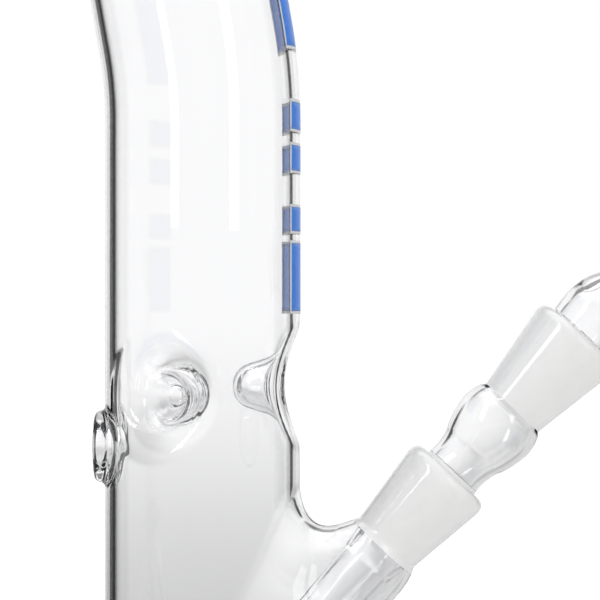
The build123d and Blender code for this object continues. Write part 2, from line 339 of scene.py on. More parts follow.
def carb_ring(points):
    """Distance to the raised ring of the carburettor hole, a round-edged washer."""
    across = np.hypot(points[..., 1], points[..., 2] - CARB_Z)
    box_r = np.abs(across - CARB_RING_R) - (CARB_RING_HALF_WIDTH - CARB_RING_ROUND)
    box_x = np.abs(points[..., 0] + TUBE_R) - (CARB_RING_HALF_HEIGHT - CARB_RING_ROUND)
    corner = np.hypot(np.maximum(box_r, 0), np.maximum(box_x, 0))
    return corner + np.minimum(np.maximum(box_r, box_x), 0) - CARB_RING_ROUND


def outside_field(points):
    """Below zero inside the outer skin of the welded pipe."""
    skin, _ = dented_tube(points)
    arm, round_r = sealed_arm(points)
    along, _, _ = arm_coordinates(points)
    grow = (SOCKET_RIM_R - SOCKET_FOOT_R) * np.maximum(along, 0) / SOCKET_LENGTH
    arm = smooth_max(arm - grow, along - SOCKET_LENGTH, SOCKET_RIM_ROUND)
    skin = round_min(skin, arm, round_r)
    return smooth_min(skin, carb_ring(points), CARB_RING_WELD)


def inside_field(points):
    """Below zero in the air inside the welded pipe."""
    skin, wall = dented_tube(points)
    arm, round_r = sealed_arm(points)
    along, across, _ = arm_coordinates(points)
    near_arm = np.clip((ARM_WALL_WITHIN - arm) / ARM_WALL_WITHIN, 0, 1) ** 2
    near_seal = np.clip((along + SEAL_LENGTH) / SEAL_LENGTH, 0, 1)
    arm_wall = ARM_WALL + (SEAL_WALL - ARM_WALL) * near_seal
    arm = np.maximum(arm, along)
    thick = wall * (1 - near_arm) + arm_wall * near_arm
    air = round_min(skin, arm, round_r) + thick * weld_slope(points, skin, arm, round_r)
    taper = np.maximum(across - joint_r(along, SOCKET_LENGTH), -along - TAPER_ROOT)
    air = smooth_min(air, taper, TAPER_ROUND)
    hole = np.hypot(points[..., 1], points[..., 2] - CARB_Z) - CARB_HOLE_R
    hole = np.maximum(hole, points[..., 0] - CARB_HOLE_END_X)
    return smooth_min(air, hole, CARB_HOLE_ROUND)


def pipe_field(points):
    """Below zero in the glass of the welded pipe."""
    return smooth_max(outside_field(points), -inside_field(points), EDGE_ROUND)


def settle(points, field, rounds=5):
    """Moves points onto the field's zero surface."""
    step = 0.05
    least = 0.2
    furthest = 0.4
    offsets = np.eye(3) * step
    for _ in range(rounds):
        value = field(points)
        slopes = [(field(points + o) - field(points - o)) / (2 * step) for o in offsets]
        slope = np.stack(slopes, axis=-1)
        size = np.maximum((slope**2).sum(-1), least)
        move = slope * (value / size)[:, None]
        points = points - np.clip(move, -furthest, furthest)
    return points


def surface(field, low, high, voxel):
    """Points and quads of a field's zero surface inside a box."""
    counts = [int(math.ceil((b - a) / voxel)) + 1 for a, b in zip(low, high)]
    axes = [a + voxel * np.arange(n) for a, n in zip(low, counts)]
    values = np.empty(counts, np.float32)
    y, z = np.meshgrid(axes[1], axes[2], indexing="ij")
    for i, x in enumerate(axes[0]):
        sheet = np.stack((np.full_like(y, x), y, z), axis=-1)
        values[i] = field(sheet)
    band = 3 * voxel
    grid = openvdb.FloatGrid(background=band)
    grid.copyFromArray(np.clip(values, -band, band))
    points, quads = grid.convertToQuads(0.0)
    return settle(points.astype(float) * voxel + np.array(low), field), quads


# ---------------------------------------------------------------- meshes


def new_object(name, points, faces, materials):
    """A smooth-shaded object from points in millimetres."""
    mesh = bpy.data.meshes.new(name)
    mesh.from_pydata((np.asarray(points) * MM).tolist(), [], [tuple(map(int, f)) for f in faces])
    mesh.validate()
    mesh.update()
    mesh.polygons.foreach_set("use_smooth", [True] * len(mesh.polygons))
    thing = bpy.data.objects.new(name, mesh)
    bpy.context.scene.collection.objects.link(thing)
    for material in materials:
        mesh.materials.append(material)
    return thing


def grind(thing, ground_test, skin_test=None):
    """Gives the second material to faces on ground tapers, and the third to skins over them."""
    centres = np.empty(len(thing.data.polygons) * 3)
    thing.data.polygons.foreach_get("center", centres)
    centres = centres.reshape(-1, 3) / MM
    chosen = ground_test(centres).astype(np.int32)
    if skin_test:
        chosen[skin_test(centres)] = 2
    thing.data.polygons.foreach_set("material_index", chosen)


def skin_over(start, length, milky_from):
    """A test for face centres on the outside of a socket, from a little below its narrow end."""

    def test(centres):
        along, across, _ = arm_coordinates(centres)
        along = along - start
        beside = (along > milky_from) & (along < length + MILKY_PAST_RIM)
        outside = (across > joint_r(along, length) + SKIN_OVER_BORE) & (across < SKIN_REACH)
        return beside & outside

    return test


def bore_test(start, length, slack, ground_from, short):
    """A test for face centres in a socket's ground bore, which ends short of the rim."""

    def test(centres):
        along, across, _ = arm_coordinates(centres)
        along = along - start
        near = np.abs(across - joint_r(along, length)) < slack
        return near & (along > ground_from) & (along < length - short)

    return test


def outward(thing):
    """Turns every face outwards."""
    work = bmesh.new()
    work.from_mesh(thing.data)
    bmesh.ops.recalc_face_normals(work, faces=work.faces)
    work.to_mesh(thing.data)
    work.free()


def lathe(outline, place, segments):
    """Points and faces of a closed outline of radius and height pairs turned about an axis."""
    turns = 2 * math.pi * np.arange(segments) / segments
    origin, across, depth, axis = place
    points = []
    for radius, height in outline:
        ring = origin + height * axis
        points += [ring + radius * (math.cos(t) * across + math.sin(t) * depth) for t in turns]
    count = len(outline)
    faces = []
    for i in range(count):
        below, above = i * segments, (i + 1) % count * segments
        for j in range(segments):
            k = (j + 1) % segments
            faces.append((below + j, below + k, above + k, above + j))
    return np.array(points), faces


def through(stops, steps):
    """A smooth open line through stops: Catmull and Rom's curve."""
    stops = [np.array(s, float) for s in stops]
    ends = [2 * stops[0] - stops[1]] + stops + [2 * stops[-1] - stops[-2]]
    line = []
    for a, b, c, d in zip(ends, ends[1:], ends[2:], ends[3:]):
        square = 2 * a - 5 * b + 4 * c - d
        cube = 3 * b - a - 3 * c + d
        for t in np.arange(steps) / steps:
            line.append(0.5 * (2 * b + (c - a) * t + square * t**2 + cube * t**3))
    line.append(stops[-1])
    return [tuple(p) for p in line]


def eased(corners, steps):
    """A closed outline with rounded corners, from radius, height and rounding triples."""
    line = []
    count = len(corners)
    for i, (x, y, rounding) in enumerate(corners):
        here = np.array((x, y))
        if not rounding:
            line.append(here)
            continue
        before = np.array(corners[i - 1][:2]) - here
        after = np.array(corners[(i + 1) % count][:2]) - here
        before /= np.linalg.norm(before)
        after /= np.linalg.norm(after)
        half = math.acos(np.clip(before @ after, -1, 1)) / 2
        reach = rounding / math.tan(half)
        middle = (before + after) / np.linalg.norm(before + after)
        centre = here + middle * rounding / math.sin(half)
        first = here + before * reach - centre
        last = here + after * reach - centre
        sweep = math.pi - 2 * half
        for t in np.linspace(0, 1, steps):
            blend = math.sin((1 - t) * sweep) * first + math.sin(t * sweep) * last
            line.append(centre + blend / math.sin(sweep))
    return [tuple(p) for p in line]


def sharp(line):
    """Corners with no rounding, from radius and height pairs."""
    return [(radius, height, 0) for radius, height in line]


def raised(stops, height):
    """Radius and height pairs, moved up by a height."""
    return [(radius, height + above) for radius, above in stops]


def arm_place(along):
    """Origin and axes of a place on the arm's axis."""
    across = np.array((math.sin(ARM_LEAN), 0, -math.cos(ARM_LEAN)))
    return ARM_ORIGIN + along * ARM_AXIS, across, np.array((0.0, 1.0, 0.0)), ARM_AXIS


def tube_place(along):
    """Origin, across and depth of a place on the main tube's centreline, by length along it."""
    turn = min(max(along - BEND_START, 0) / BEND_RADIUS, BEND_ANGLE)
    past = max(along - BEND_START - BEND_RADIUS * BEND_ANGLE, 0)
    axis = np.array((-math.sin(turn), 0, math.cos(turn)))
    across = np.array((math.cos(turn), 0, math.sin(turn)))
    x = -BEND_RADIUS * (1 - math.cos(turn))
    z = min(along, BEND_START) + BEND_RADIUS * math.sin(turn)
    return np.array((x, 0, z)) + past * axis, across, np.array((0.0, 1.0, 0.0))


def tube_ring(radius, along):
    """A ring of points about the tube's centreline."""
    origin, across, depth = tube_place(along)
    turns = 2 * math.pi * np.arange(RING_SEGMENTS) / RING_SEGMENTS
    circle = np.outer(np.cos(turns), across) + np.outer(np.sin(turns), depth)
    return origin + radius * circle


def zip_rings(first, first_turns, second, second_turns):
    """Triangles between two rings of point numbers, each sorted by azimuth."""
    faces = []
    i = j = 0
    while i < len(first) or j < len(second):
        next_i = first_turns[i + 1] if i + 1 < len(first) else first_turns[0] + 2 * math.pi
        next_j = second_turns[j + 1] if j + 1 < len(second) else second_turns[0] + 2 * math.pi
        a, b = first[i % len(first)], second[j % len(second)]
        if j >= len(second) or (i < len(first) and next_i <= next_j):
            faces.append((a, first[(i + 1) % len(first)], b))
            i += 1
        else:
            faces.append((a, second[(j + 1) % len(second)], b))
            j += 1
    return faces


def cut_level(work, height, keep_below):
    """Cuts a mesh at a height and throws away the far side."""
    bmesh.ops.bisect_plane(
        work,
        geom=work.verts[:] + work.edges[:] + work.faces[:],
        plane_co=(0, 0, height),
        plane_no=(0, 0, 1 if keep_below else -1),
        clear_outer=True,
    )


def split_arm(work, along):
    """Splits the arm's faces on a plane across it, so that its milky part ends on a clean line."""
    faces = [face for face in work.faces if face.calc_center_median().x > ARM_BEYOND_X]
    edges = {edge for face in faces for edge in face.edges}
    verts = {vert for face in faces for vert in face.verts}
    bmesh.ops.bisect_plane(
        work,
        geom=faces + list(edges) + list(verts),
        dist=CUT_SLACK,
        plane_co=ARM_ORIGIN + along * ARM_AXIS,
        plane_no=ARM_AXIS,
    )


def azimuth_of(vert):
    """Azimuth of a vertex about the main tube, from nought to a full turn."""
    return math.atan2(vert.co.y, vert.co.x) % (2 * math.pi)


def edge_rings(work, height):
    """The outer and inner rings of open edges at a height, sorted by azimuth."""
    rings = {TUBE_R: [], INNER_R: []}
    for vert in work.verts:
        if vert.is_boundary and abs(vert.co.z - height) < CUT_SLACK:
            radius = math.hypot(vert.co.x, vert.co.y)
            rings[min(rings, key=lambda r: abs(r - radius))].append(vert)
    for radius, ring in rings.items():
        for vert in ring:
            scale = radius / math.hypot(vert.co.x, vert.co.y)
            vert.co = (vert.co.x * scale, vert.co.y * scale, height)
        ring.sort(key=azimuth_of)
    return rings[TUBE_R], rings[INNER_R]


def foot_outline():
    """Radius and height from the chamber's outside over the foot to the middle of its underside."""
    half = FOOT_THICKNESS / 2
    turns = np.linspace(0, math.pi, FOOT_EDGE_STEPS)
    edge = [(FOOT_R - FOOT_EDGE * (1 - math.sin(t)), half + half * math.cos(t)) for t in turns]
    return through(FOOT_WELD, 4) + edge + [(radius, 0.0) for radius in UNDERSIDE_RINGS]


def floor_outline():
    """Radius and height from the chamber's inside to the middle of its floor."""
    top = FLOOR_TOP + FLOOR_CORNER
    turns = np.linspace(0, math.pi / 2, FLOOR_CORNER_STEPS)
    corner = [(INNER_R - FLOOR_CORNER * (1 - math.cos(t)), top - FLOOR_CORNER * math.sin(t)) for t in turns]
    return corner + [(radius, FLOOR_TOP) for radius in FLOOR_RINGS]


def blown_part():
    """The pipe's middle as an open mesh, with its rings of edges at the top and at the bottom."""
    low = (BLOWN_X[0], -BLOWN_Y, BLOWN_LOW - BLOWN_MARGIN)
    high = (BLOWN_X[1], BLOWN_Y, BLOWN_HIGH + BLOWN_MARGIN)
    voxel = PIPE_VOXEL
    points, quads = surface(pipe_field, low, high, voxel)
    mesh = bpy.data.meshes.new("blown")
    mesh.from_pydata(points.tolist(), [], quads.tolist())
    work = bmesh.new()
    work.from_mesh(mesh)
    bpy.data.meshes.remove(mesh)
    cut_level(work, BLOWN_HIGH, True)
    cut_level(work, BLOWN_LOW, False)
    split_arm(work, MILKY_FROM)
    work.verts.ensure_lookup_table()
    top = edge_rings(work, BLOWN_HIGH)
    bottom = edge_rings(work, BLOWN_LOW)
    work.verts.index_update()
    return work, top, bottom


def add_rings(points, faces, rings):
    """Adds rings of points with quads between them, and gives each ring's first point number."""
    starts = []
    for ring in rings:
        starts.append(len(points))
        points.extend(map(tuple, ring))
    for a, b in zip(starts, starts[1:]):
        for j in range(RING_SEGMENTS):
            k = (j + 1) % RING_SEGMENTS
            faces.append((a + j, a + k, b + k, b + j))
    return starts


def join_ring(faces, verts, start):
    """Adds triangles between a ring of open edges and an even ring of points."""
    even = [2 * math.pi * i / RING_SEGMENTS for i in range(RING_SEGMENTS)]
    turns = [azimuth_of(vert) for vert in verts]
    numbers = [vert.index for vert in verts]
    faces.extend(zip_rings(numbers, turns, list(range(start, start + RING_SEGMENTS)), even))


def welded_pipe(name, clear, ground, frosted):
    """Chamber, neck, foot, lip, ring, arm and arm socket as the one piece of glass they are."""
    work, top, bottom = blown_part()
    points = [tuple(vert.co) for vert in work.verts]
    faces = [tuple(vert.index for vert in face.verts) for face in work.faces]
    stations = [BLOWN_HIGH + 1]
    stations += list(np.linspace(BEND_START, BEND_END, BEND_STATIONS))
    stations += list(np.linspace(BEND_END, NECK_END, NECK_STATIONS)[1:-1])
    rings = [tube_ring(TUBE_R, s) for s in stations]
    rings += [tube_ring(radius, s) for radius, s in through(raised(LIP, NECK_END), 4)]
    rings += [tube_ring(INNER_R, s) for s in reversed(stations)]
    starts = add_rings(points, faces, rings)
    join_ring(faces, top[0], starts[0])
    join_ring(faces, top[1], starts[-1])
    outside = [(TUBE_R, BLOWN_LOW - 1)] + foot_outline()
    inside = [(INNER_R, BLOWN_LOW - 1)] + floor_outline()
    for ring, levels in zip(bottom, (outside, inside)):
        starts = add_rings(points, faces, [tube_ring(radius, z) for radius, z in levels])
        join_ring(faces, ring, starts[0])
        centre = len(points)
        points.append((0.0, 0.0, levels[-1][1]))
        last = starts[-1]
        for j in range(RING_SEGMENTS):
            faces.append((last + j, last + (j + 1) % RING_SEGMENTS, centre))
    work.free()
    thing = new_object(name, points, faces, (clear, ground, frosted))
    outward(thing)
    in_bore = bore_test(0.0, SOCKET_LENGTH, slack=0.35, ground_from=-1.2, short=0.9)
    grind(thing, in_bore, skin_over(0.0, SOCKET_LENGTH, MILKY_FROM))
    return thing


def cone_corners(length):
    """Outside corners of a ground cone, from its free end up to its wide end."""
    wide_r = JOINT_WIDE_R - JOINT_GAP
    free_r = joint_r(CONE_END, length) - JOINT_GAP
    edge = 1.4
    return [
        (free_r - CONE_WALL, CONE_END, 0.7),
        (free_r, CONE_END, 0.7),
        (wide_r - edge * TAPER, length - edge, 1.2),
    ]


def cone_test(start, length, slack=0.15, past=0.4):
    """A test for face centres on a ground cone's outside, within a slack of its taper."""

    def test(centres):
        along, across, _ = arm_coordinates(centres)
        along = along - start
        near = np.abs(across - joint_r(along, length) + JOINT_GAP) < slack
        shoulder = (along > length - SHOULDER_LENGTH) & (across > SHOULDER_R)
        return ((near & (along > CONE_MILKY_FROM)) | shoulder) & (along < length + past)

    return test


def bulb_line(wall):
    """The blown bulb's line between the cone and the upper socket, inside by a wall."""
    return through([(radius - wall, SOCKET_LENGTH + above) for radius, above in BULB], 5)


def adapter_outline():
    """Closed outline of the adapter: cone, neck, bulb and upper socket."""
    corners = cone_corners(SOCKET_LENGTH)
    corners += [(7.95, SOCKET_LENGTH, 0.6)]
    corners += sharp(bulb_line(0.0))
    corners += [
        (UPPER_FOOT_R + 0.1, BOWL_START + 0.1, 0.25),
        (UPPER_RIM_R, BOWL_RIM, 2.4),
        (JOINT_WIDE_R, BOWL_RIM, 0.8),
        (joint_r(0, UPPER_SOCKET_LENGTH), BOWL_START, 0.5),
    ]
    corners += sharp(reversed(bulb_line(BULB_WALL)))
    corners += [(6.4, SOCKET_LENGTH - 3, 2.0)]
    return eased(corners, 6)


def adapter(name, clear, ground, frosted):
    """The adapter, turned as one piece of glass."""
    points, faces = lathe(adapter_outline(), arm_place(0), ADAPTER_SEGMENTS)
    thing = new_object(name, points, faces, (clear, ground, frosted))
    outward(thing)
    on_cone = cone_test(0.0, SOCKET_LENGTH)
    in_bore = bore_test(BOWL_START, UPPER_SOCKET_LENGTH, slack=0.12, ground_from=0.8, short=1.0)
    skin = skin_over(BOWL_START, UPPER_SOCKET_LENGTH, UPPER_MILKY_FROM)
    grind(thing, lambda centres: on_cone(centres) | in_bore(centres), skin)
    return thing


def bowl_outline():
    """Closed outline of the bowl: cone, shank, waist and funnel."""
    length = UPPER_SOCKET_LENGTH
    corners = cone_corners(length)
    corners += sharp(through(raised(SHANK, length) + raised(CUP, CUP_START), 5))
    rim_z = CUP_START + CUP_RIM_HEIGHT
    for t in np.linspace(-0.6, math.pi + 0.6, 12):
        radius = CUP_RIM_R + CUP_RIM_ROUND * math.cos(t)
        corners.append((radius, rim_z + CUP_RIM_ROUND * math.sin(t), 0))
    corners += sharp(through(raised(CUP_INSIDE, CUP_START) + raised(SHANK_INSIDE, length), 5))
    return eased(corners, 5)


def outline_field(across, along, outline):
    """Signed distance to a closed outline of radius and height pairs."""
    best = np.full(across.shape, 1e9)
    inside = np.zeros(across.shape, bool)
    for (ax, ay), (bx, by) in zip(outline, outline[1:] + outline[:1]):
        ex, ey = bx - ax, by - ay
        px, py = across - ax, along - ay
        length = max(ex * ex + ey * ey, 1e-9)
        t = np.clip((px * ex + py * ey) / length, 0, 1)
        best = np.minimum(best, (px - t * ex) ** 2 + (py - t * ey) ** 2)
        if ey:
            inside ^= ((ay > along) != (by > along)) & (px < ex * py / ey)
    return np.where(inside, -1, 1) * np.sqrt(best)


def bowl(name, clear, ground):
    """The bowl with its lifting peg, blown as one piece."""
    outline = bowl_outline()
    lean = np.array((1.0, 0.0, PEG_RISE)) / math.hypot(1.0, PEG_RISE)
    start = np.array(PEG_START)

    def field(points):
        across = np.hypot(points[..., 0], points[..., 1])
        body = outline_field(across, points[..., 2], outline)
        peg = round_cone(points, start, lean, PEG_ROOT_R, PEG_TIP_R, PEG_LENGTH)
        knob = np.linalg.norm(points - (start + KNOB_AT * lean), axis=-1) - KNOB_R
        peg = smooth_min(peg, knob, KNOB_ROUND)
        peg = np.maximum(peg, PEG_CLEAR_R - across)
        return smooth_min(body, peg, PEG_WELD)

    voxel = BOWL_VOXEL
    points, quads = surface(field, BOWL_LOW, BOWL_HIGH, voxel)
    origin, across, depth, axis = arm_place(BOWL_START)
    points = origin + points @ np.array((across, depth, axis))
    thing = new_object(name, points, quads, (clear, ground))
    outward(thing)
    grind(thing, cone_test(BOWL_START, UPPER_SOCKET_LENGTH))
    return thing


def slit_cutter(place, number):
    """A round-edged bar across the stem, turned by its number."""
    origin, across, depth, axis = place
    work = bmesh.new()
    bmesh.ops.create_cube(work, size=1.0)
    bmesh.ops.bevel(work, geom=work.edges[:], offset=SLIT_ROUND, segments=2, affect="EDGES")
    turn = Matrix((across, depth, axis)).transposed().to_4x4()
    spin = Matrix.Rotation(math.pi * number / SLIT_COUNT, 4, "Z")
    size = Matrix.Diagonal((*(side * MM for side in SLIT_SIZE), 1))
    work.transform(Matrix.Translation(Vector(origin) * MM) @ turn @ spin @ size)
    mesh = bpy.data.meshes.new("slit")
    work.to_mesh(mesh)
    work.free()
    cutter = bpy.data.objects.new("slit", mesh)
    bpy.context.scene.collection.objects.link(cutter)
    return cutter


def stem(name, clear):
    """The diffuser stem with its slits, sealed into the arm at its upper end."""
    seal_r = joint_r(0, SOCKET_LENGTH) - STEM_SEAL_GAP
    corners = [
        (STEM_BORE_R, STEM_END, 0.5),
        (STEM_R, STEM_END, 0.6),
        (STEM_R, -7.5, 5.0),
        (seal_r, -3.0, 2.0),
        (seal_r, STEM_TOP, 0.5),
        (seal_r - STEM_SEAL_WALL, STEM_TOP, 0.5),
        (STEM_BORE_R, -6.0, 6.0),
    ]
    points, faces = lathe(eased(corners, 7), arm_place(0), STEM_SEGMENTS)
    thing = new_object(name, points, faces, (clear,))
    outward(thing)
    place = arm_place(STEM_END + SLIT_FROM_END + SLIT_SIZE[2] / 2)
    for number in range(SLIT_COUNT):
        cutter = slit_cutter(place, number)
        cut = thing.modifiers.new("slit", "BOOLEAN")
        cut.operation = "DIFFERENCE"
        cut.solver = "EXACT"
        cut.object = cutter
        graph = bpy.context.evaluated_depsgraph_get()
        result = bpy.data.meshes.new_from_object(thing.evaluated_get(graph))
        thing.modifiers.clear()
        thing.data = result
        bpy.data.objects.remove(cutter)
    return thing


def patch(low, high, near, far, proud):
    """Points and faces of a thin closed patch on the tube's outside."""
    rows = max(2, int((high - low) / PRINT_ROW_STEP) + 1)
    columns = max(2, int((far - near) * TUBE_R / PRINT_COLUMN_STEP) + 1)
    points, faces = [], []
    for radius in (TUBE_R - PRINT_SUNK, TUBE_R + proud):
        for along in np.linspace(low, high, rows):
            origin, across, depth = tube_place(along)
            for turn in np.linspace(near, far, columns):
                points.append(origin + radius * (math.cos(turn) * across + math.sin(turn) * depth))

    def number(level, i, j):
        return level * rows * columns + i * columns + j

    for i in range(rows - 1):
        for j in range(columns - 1):
            for level in (0, 1):
                corners = ((i, j), (i, j + 1), (i + 1, j + 1), (i + 1, j))
                faces.append(tuple(number(level, *corner) for corner in corners))
    sides = [((i, j), (i + 1, j)) for i in range(rows - 1) for j in (0, columns - 1)]
    sides += [((i, j), (i, j + 1)) for j in range(columns - 1) for i in (0, rows - 1)]
    for a, b in sides:
        faces.append((number(0, *a), number(1, *a), number(1, *b), number(0, *b)))
    return points, faces


def printed(name, patches, material):
    """One object of many patches."""
    points, faces = [], []
    for some_points, some_faces in patches:
        start = len(points)
        points += some_points
        faces += [tuple(start + k for k in face) for face in some_faces]
    thing = new_object(name, points, faces, (material,))
    outward(thing)
    return thing


def bar_patches():
    """One patch for each bar."""
    return [patch(low, high, PRINT_NEAR, PRINT_FAR, PRINT_PROUD) for low, high in PRINT_BARS]


def border_patches():
    """Four strips around each bar."""
    margin = PRINT_BORDER / TUBE_R
    near, far = PRINT_NEAR - margin, PRINT_FAR + margin
    strips = []
    for low, high in PRINT_BARS:
        strips.append(patch(low - PRINT_BORDER, low, near, far, PRINT_BORDER_PROUD))
        strips.append(patch(high, high + PRINT_BORDER, near, far, PRINT_BORDER_PROUD))
        strips.append(patch(low, high, near, PRINT_NEAR, PRINT_BORDER_PROUD))
        strips.append(patch(low, high, PRINT_FAR, far, PRINT_BORDER_PROUD))
    return strips


# ---------------------------------------------------------------- materials

GLASS_IOR = 1.47
PRINT_BLUE = (0.04, 0.29, 0.97)
PRINT_BLUE_DARK = (0.03, 0.25, 0.88)
PRINT_PALE = (0.96, 0.96, 0.97)
PRINT_PALE_DARK = (0.88, 0.88, 0.90)


def material(name, **uniform):
    """A node material, its tree, shader and object coordinates, with fixed values on the shader.

    The values are named by their sockets, with _ for a space."""
    made = bpy.data.materials.new(name)
    made.use_nodes = True
    tree = made.node_tree
    shader = tree.nodes["Principled BSDF"]
    for socket, value in uniform.items():
        shader.inputs[socket.replace("_", " ")].default_value = value
    place = tree.nodes.new("ShaderNodeTexCoord").outputs["Object"]
    return made, tree, shader, place


def noise(tree, place, scale, detail, stretch=(1, 1, 1)):
    """A noise texture at a scale per metre, stretched along the axes."""
    mapping = tree.nodes.new("ShaderNodeMapping")
    mapping.inputs["Scale"].default_value = stretch
    texture = tree.nodes.new("ShaderNodeTexNoise")
    texture.inputs["Scale"].default_value = scale
    texture.inputs["Detail"].default_value = detail
    tree.links.new(place, mapping.inputs["Vector"])
    tree.links.new(mapping.outputs["Vector"], texture.inputs["Vector"])
    return texture.outputs["Fac"]


def map_range(tree, value, **limits):
    """A value moved from one range to another; limits are named by their sockets, with _ for a space."""
    node = tree.nodes.new("ShaderNodeMapRange")
    for limit, number in limits.items():
        node.inputs[limit.replace("_", " ")].default_value = number
    tree.links.new(value, node.inputs["Value"])
    return node.outputs["Result"]


def roughened(tree, shader, value, low, high):
    """Roughness between low and high."""
    rough = map_range(tree, value, To_Min=low, To_Max=high)
    tree.links.new(rough, shader.inputs["Roughness"])


def coloured(tree, shader, value, dark, pale, start=0.0, end=1.0):
    """Base colour from dark to pale, between two levels of a value."""
    ramp = tree.nodes.new("ShaderNodeValToRGB")
    first, last = ramp.color_ramp.elements
    first.color = (*dark, 1)
    last.color = (*pale, 1)
    first.position = start
    last.position = end
    tree.links.new(value, ramp.inputs["Fac"])
    tree.links.new(ramp.outputs["Color"], shader.inputs["Base Color"])


def bump(tree, shader, height, strength, distance):
    """Fine relief from a value, its depth a distance in metres."""
    node = tree.nodes.new("ShaderNodeBump")
    node.inputs["Strength"].default_value = strength
    node.inputs["Distance"].default_value = distance
    tree.links.new(height, node.inputs["Height"])
    tree.links.new(node.outputs["Normal"], shader.inputs["Normal"])


def clear_glass():
    """Fire-polished borosilicate, with the faint draw lines of tubing."""
    made, tree, shader, place = material(
        "clear_glass",
        Base_Color=(0.988, 0.989, 0.994, 1),
        Transmission_Weight=1.0,
        IOR=GLASS_IOR,
        Roughness=0.0,
    )
    draw_lines = noise(tree, place, 45, 1.0, (1, 1, 0.05))
    bump(tree, shader, draw_lines, 0.02, 0.0005)
    return made


def ground_glass():
    """Glass ground with grit: rough and milky."""
    made, tree, shader, place = material(
        "ground_glass",
        Base_Color=(0.97, 0.975, 0.97, 1),
        Transmission_Weight=0.35,
        IOR=GLASS_IOR,
    )
    roughened(tree, shader, noise(tree, place, 260, 3.0), 0.5, 0.68)
    bump(tree, shader, noise(tree, place, 5200, 2.0), 0.22, 0.00006)
    return made


def frosted_glass():
    """A clear skin over ground glass, as a socket looks from outside."""
    made, tree, shader, place = material(
        "frosted_glass",
        Transmission_Weight=0.22,
        IOR=GLASS_IOR,
        Coat_Weight=1.0,
        Coat_Roughness=0.06,
    )
    cloud = noise(tree, place, 300, 4.0)
    coloured(tree, shader, cloud, (0.70, 0.70, 0.695), (0.76, 0.76, 0.755))
    roughened(tree, shader, cloud, 0.45, 0.6)
    bump(tree, shader, noise(tree, place, 5200, 2.0), 0.1, 0.00005)
    return made


def enamel(name, pale, dark):
    """Fired print: a slightly uneven, glossy enamel."""
    made, tree, shader, place = material(name, Transmission_Weight=0.5, IOR=GLASS_IOR)
    coloured(tree, shader, noise(tree, place, 900, 4.0), dark, pale, 0.3, 0.62)
    roughened(tree, shader, noise(tree, place, 2400, 3.0), 0.3, 0.42)
    bump(tree, shader, noise(tree, place, 3000, 2.0), 0.12, 0.00004)
    return made


def steel():
    """Plain steel sheet of the screen, faintly brushed."""
    made, tree, shader, place = material("screen_steel", Metallic=1.0)
    coloured(tree, shader, noise(tree, place, 700, 4.0), (0.42, 0.42, 0.43), (0.68, 0.68, 0.69))
    roughened(tree, shader, noise(tree, place, 3000, 3.0, (1, 8, 1)), 0.25, 0.5)
    bump(tree, shader, noise(tree, place, 4000, 2.0), 0.2, 0.00005)
    return made


# ---------------------------------------------------------------- stage

CAMERA_AT = (0.025, -0.650, 0.151)
CAMERA_LENS = 151.7
FLOOR_HALF = 9000.0
WHITE = (1.0, 1.0, 1.0, 1)

# Brightness by the height of the direction looked in, from straight down at -1
HEIGHT_STOPS = (
    (-1, 0.80),
    (-0.78, 0.72),
    (-0.72, 0.5),
    (-0.56, 0.5),
    (-0.5, 0.70),
    (-0.3, 0.70),
    (-0.13, 0.62),
    (-0.105, 0.675),
    (-0.087, 0.735),
    (-0.068, 0.815),
    (-0.05, 0.885),
    (-0.03, 0.935),
    (-0.01, 0.975),
    (0.3, 1.0),
)
# Middle in degrees from +Y towards +X, half width and brightness of the dark flags
FLAGS = ((-46, 15, 0.05), (43, 7, 0.02))
FLAG_SOFT = 5.0
FLAG_HEIGHTS = ((-0.21, 0.0), (-0.14, 1.0), (0.32, 1.0), (0.42, 0.0))
# The dark edge over the backdrop: by height, and how far round it reaches
LEDGE_HEIGHTS = ((0.46, 1.0), (0.54, 0.25), (0.76, 0.25), (0.84, 1.0))
LEDGE_TURNS = ((0.26, 0.0), (0.32, 1.0), (0.68, 1.0), (0.74, 0.0))


def set_camera():
    """A camera at the photo's angle, level and square to the plane of tube and arm."""
    scene = bpy.context.scene
    scene.view_settings.view_transform = "Standard"
    camera = bpy.data.cameras.new("camera")
    camera.lens = CAMERA_LENS
    camera.sensor_width = 36
    camera.clip_end = 20
    eye = bpy.data.objects.new("camera", camera)
    eye.location = CAMERA_AT
    eye.rotation_euler = (math.pi / 2, 0, 0)
    scene.collection.objects.link(eye)
    scene.camera = eye


def math_node(tree, operation, first, second):
    """The outcome of an operation on two linked values."""
    node = tree.nodes.new("ShaderNodeMath")
    node.operation = operation
    tree.links.new(first, node.inputs[0])
    tree.links.new(second, node.inputs[1])
    return node.outputs[0]


def stage_floor():
    """A plain pale floor that is left out of what is seen through or mirrored in the glass."""
    points = [(x, y, 0) for y in (-FLOOR_HALF, FLOOR_HALF) for x in (-FLOOR_HALF, FLOOR_HALF)]
    made, tree, shader, _ = material(
        "stage_floor",
        Base_Color=(0.72, 0.72, 0.72, 1),
        Roughness=0.9,
        Specular_IOR_Level=0.0,
        Emission_Color=WHITE,
        Emission_Strength=0.4,
    )
    path = tree.nodes.new("ShaderNodeLightPath").outputs
    plainly = math_node(tree, "MAXIMUM", path["Is Camera Ray"], path["Is Diffuse Ray"])
    clear = tree.nodes.new("ShaderNodeBsdfTransparent")
    pick = tree.nodes.new("ShaderNodeMixShader")
    tree.links.new(plainly, pick.inputs[0])
    tree.links.new(clear.outputs[0], pick.inputs[1])
    tree.links.new(shader.outputs[0], pick.inputs[2])
    tree.links.new(pick.outputs[0], tree.nodes["Material Output"].inputs["Surface"])
    new_object("stage_floor", points, [(0, 1, 3, 2)], (made,))


